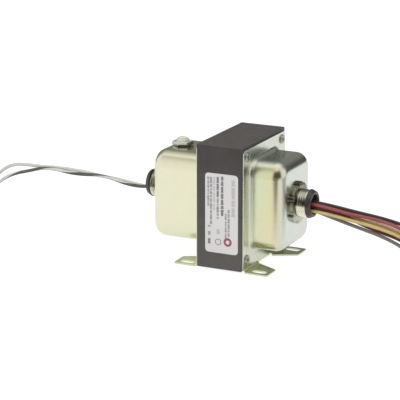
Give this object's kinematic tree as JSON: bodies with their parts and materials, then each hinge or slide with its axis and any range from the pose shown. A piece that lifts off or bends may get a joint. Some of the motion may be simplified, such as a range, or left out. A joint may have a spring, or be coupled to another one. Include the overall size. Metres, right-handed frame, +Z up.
{
  "type": "control transformer",
  "caption": "Foot-mounted control transformer: lamination stack between drawn end bells, conduit hubs with leads, reset breaker on top, blank-print rating label.",
  "frame": {"origin": "centre of the four foot slots, on the underside of the feet", "axes": "+Z up, +X along the hubs towards the shallow bell with the coloured leads, label on the -Y face"},
  "size_m": [0.529, 0.0796, 0.0967],
  "materials": {
    "core_varnish": "dark brown-black baked varnish over silicon steel",
    "bell_plating": "yellow chromate over zinc, slightly iridescent",
    "hub_plating": "yellow chromate over zinc",
    "nickel": "bright nickel plate",
    "rivet_plating": "zinc plate",
    "bushing_plastic": "black moulded nylon",
    "bobbin_nylon": "natural moulded nylon",
    "winding_wire": "enamelled copper wire, layer wound",
    "coil_tape": "polyester tape",
    "breaker_moulding": "black phenolic moulding",
    "terminal_brass": "tinned brass",
    "button_plastic": "cream-white moulded",
    "label_film": "matt coated adhesive label, plain print",
    "white_pvc": "white PVC insulation",
    "black_pvc": "black PVC insulation",
    "red_pvc": "red PVC insulation",
    "orange_pvc": "orange PVC insulation",
    "yellow_pvc": "yellow PVC insulation",
    "cream_pvc": "cream PVC insulation",
    "brown_pvc": "brown-red PVC insulation",
    "grey_pvc": "grey PVC insulation",
    "bare_copper": "tinned stranded copper"
  },
  "bodies": {
    "transformer": {"e_laminations": "core_varnish", "i_laminations": "core_varnish", "right_end_bell": "bell_plating", "left_end_bell": "bell_plating", "core_rivets": "rivet_plating", "bobbin": "bobbin_nylon", "primary_winding": "winding_wire", "secondary_winding": "winding_wire", "primary_tape": "coil_tape", "secondary_tape": "coil_tape", "right_nipple": "hub_plating", "left_nipple": "hub_plating", "right_locknut": "hub_plating", "left_locknut": "hub_plating", "right_bushing": "bushing_plastic", "left_bushing": "bushing_plastic", "breaker_body": "breaker_moulding", "breaker_terminals": "terminal_brass", "breaker_bimetal": "terminal_brass", "breaker_neck": "nickel", "breaker_washer": "nickel", "breaker_nut": "nickel", "breaker_jumper": "black_pvc", "label": "label_film", "white_lead": "white_pvc", "black_lead": "black_pvc", "black_tap_lead": "black_pvc", "red_lead": "red_pvc", "orange_lead": "orange_pvc", "yellow_lead": "yellow_pvc", "cream_lead": "cream_pvc", "brown_lead": "brown_pvc", "grey_lead": "grey_pvc", "lead_ends": "bare_copper"},
    "button": {"reset_button": "button_plastic"}
  },
  "joints": [
    {"name": "reset_travel", "type": "slide", "parent": "transformer", "child": "button", "axis": [0, 0, 1], "range_m": [0, 0.0035]}
  ]
}
